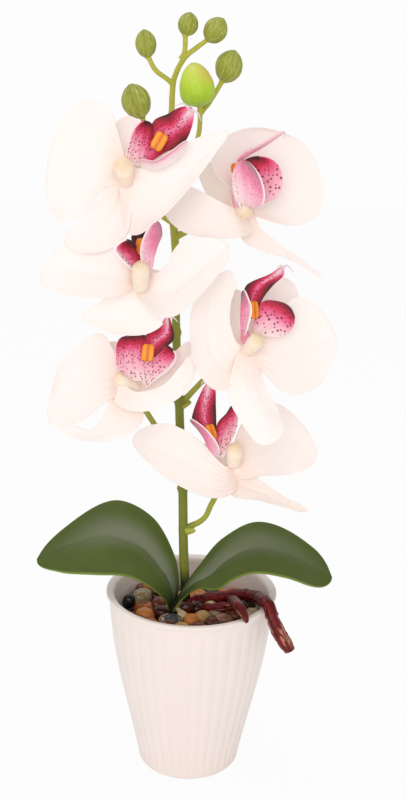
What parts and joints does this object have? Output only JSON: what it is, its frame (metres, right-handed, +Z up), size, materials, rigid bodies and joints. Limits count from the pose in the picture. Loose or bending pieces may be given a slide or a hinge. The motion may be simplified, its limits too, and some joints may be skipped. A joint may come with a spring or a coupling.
{
  "type": "potted orchid",
  "caption": "Potted moth orchid: ribbed tapered pot filled with pebbles, one upright stem with upside-down blooms and buds, broad leaves and an aerial root over the rim",
  "frame": {"origin": "centre of the pot underside, on the surface that the pot stands on", "axes": "+Z up along the pot axis, blooms face -Y, +X to the right seen from the front"},
  "size_m": [0.1624, 0.1036, 0.4051],
  "materials": {
    "pot": "satin glaze, pale cream pink",
    "pebbles": "glossy mixed pebbles",
    "stem": "moulded olive green stem",
    "leaf": "soft satin dark green",
    "root": "burgundy with pale scuffs",
    "fresh_bud": "bright yellow green, orange blush",
    "bud": "wrinkled olive green",
    "petal": "white cloth with a faint pink blush",
    "lip": "printed cloth, maroon to pink with dark spots",
    "column": "moulded cream",
    "callus": "moulded orange"
  },
  "bodies": {
    "root": {"pot": "pot", "pebble_fill": "pebbles", "flower_stem": "stem", "leaf_left": "leaf", "leaf_right": "leaf", "aerial_root": "root", "bud_1": "bud", "bud_2": "bud", "bud_3": "bud", "bud_4": "bud", "bud_5": "fresh_bud", "bud_6": "bud", "bloom_1_tepals": "petal", "bloom_1_lip": "lip", "bloom_1_column": "column", "bloom_1_callus": "callus", "bloom_2_tepals": "petal", "bloom_2_lip": "lip", "bloom_2_column": "column", "bloom_2_callus": "callus", "bloom_3_tepals": "petal", "bloom_3_lip": "lip", "bloom_3_column": "column", "bloom_3_callus": "callus", "bloom_4_tepals": "petal", "bloom_4_lip": "lip", "bloom_4_column": "column", "bloom_4_callus": "callus", "bloom_5_tepals": "petal", "bloom_5_lip": "lip", "bloom_5_column": "column", "bloom_5_callus": "callus", "bloom_6_tepals": "petal", "bloom_6_lip": "lip", "bloom_6_column": "column", "bloom_6_callus": "callus"}
  },
  "joints": []
}
